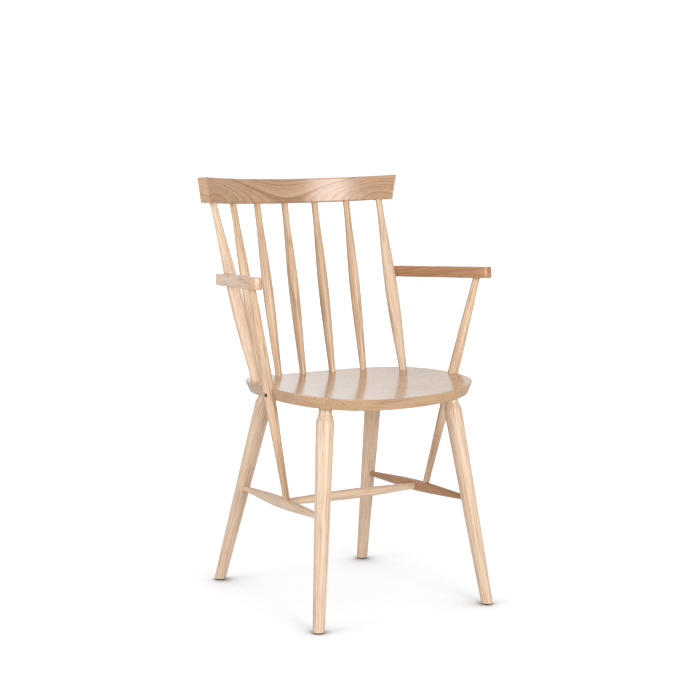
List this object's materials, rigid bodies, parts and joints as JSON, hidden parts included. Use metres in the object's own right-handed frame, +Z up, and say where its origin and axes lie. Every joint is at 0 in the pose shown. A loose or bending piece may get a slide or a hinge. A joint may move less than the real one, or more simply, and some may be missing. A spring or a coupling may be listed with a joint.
{
  "type": "armchair",
  "caption": "Beech spindle-back armchair with a dished seat, bowed crest rail, flared armrests on long raked posts, turned legs and an H-shaped stretcher set.",
  "frame": {"origin": "on the floor, under the centre of the chair's bounding box", "axes": "+Z up, -Y the way the sitter faces, +X the sitter's left"},
  "size_m": [0.5626, 0.5125, 0.8608],
  "materials": {
    "seat_board": "clear satin lacquer on pale beech",
    "crest_wood": "clear satin lacquer on beech with wide grain",
    "armrest_wood": "clear satin lacquer on beech",
    "leg_wood": "clear satin lacquer on turned beech",
    "stretcher_wood": "clear satin lacquer on turned beech",
    "stick_wood": "clear satin lacquer on turned beech",
    "dowel_wood": "raw beech",
    "screw_steel": "zinc plated",
    "glide_plastic": "dark moulded glide"
  },
  "bodies": {
    "root": {"seat": "seat_board", "leg_front_left": "leg_wood", "leg_front_right": "leg_wood", "leg_rear_left": "leg_wood", "leg_rear_right": "leg_wood", "side_stretcher_left": "stretcher_wood", "side_stretcher_right": "stretcher_wood", "cross_stretcher": "stretcher_wood", "back_post_left": "stick_wood", "back_post_right": "stick_wood", "spindle_far_left": "stick_wood", "spindle_near_left": "stick_wood", "spindle_centre": "stick_wood", "spindle_near_right": "stick_wood", "spindle_far_right": "stick_wood", "crest_rail": "crest_wood", "arm_post_left": "stick_wood", "arm_post_right": "stick_wood", "armrest_left": "armrest_wood", "armrest_right": "armrest_wood", "arm_post_screws": "screw_steel", "armrest_dowels": "dowel_wood", "foot_glide_front_left": "glide_plastic", "foot_glide_front_right": "glide_plastic", "foot_glide_rear_left": "glide_plastic", "foot_glide_rear_right": "glide_plastic"}
  },
  "joints": []
}
